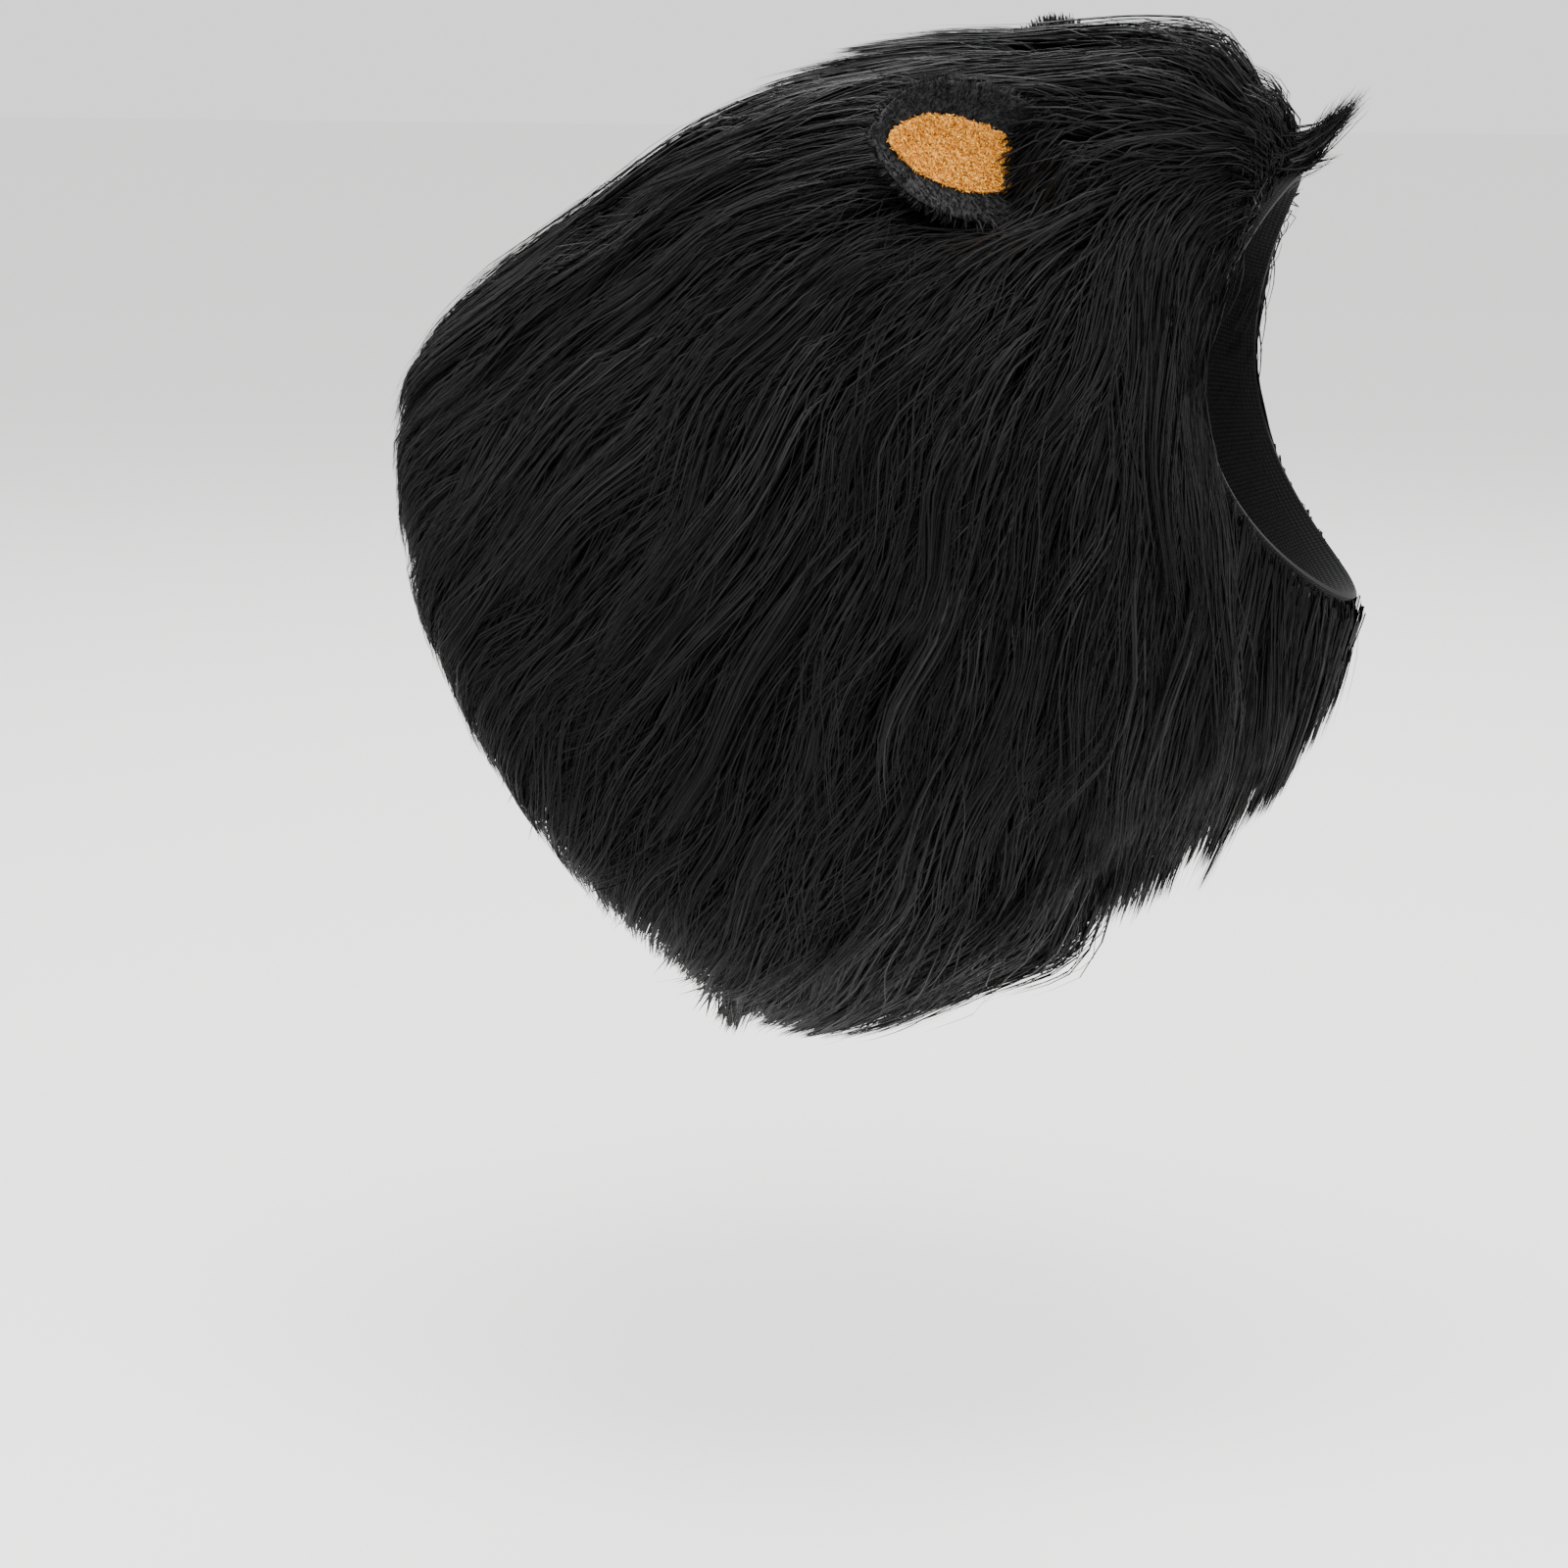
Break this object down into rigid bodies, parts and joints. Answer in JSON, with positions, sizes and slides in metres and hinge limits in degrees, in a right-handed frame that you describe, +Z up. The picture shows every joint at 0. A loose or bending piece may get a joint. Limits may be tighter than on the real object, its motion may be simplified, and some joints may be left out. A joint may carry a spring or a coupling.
{
  "type": "pet lion mane wig",
  "caption": "Pull-on lion mane wig for a dog: a long black fur hood open at the face and neck, with cupped plush ears lined in tan.",
  "frame": {"origin": "inside of the crown, where the hood sits on top of the dog's head", "axes": "+X the way the dog looks, +Y the dog's left, +Z up"},
  "size_m": [0.4599, 0.3826, 0.4904],
  "materials": {
    "knit_backing": "plain black knit, matt",
    "long_pile": "long black faux fur, soft low gloss",
    "ear_plush": "short black plush, matt",
    "tan_plush": "tan looped plush, matt"
  },
  "bodies": {
    "root": {"backing": "knit_backing", "mane_fur": "long_pile", "ear_right": "ear_plush", "ear_left": "ear_plush", "ear_lining_right": "tan_plush", "ear_lining_left": "tan_plush"}
  },
  "joints": []
}
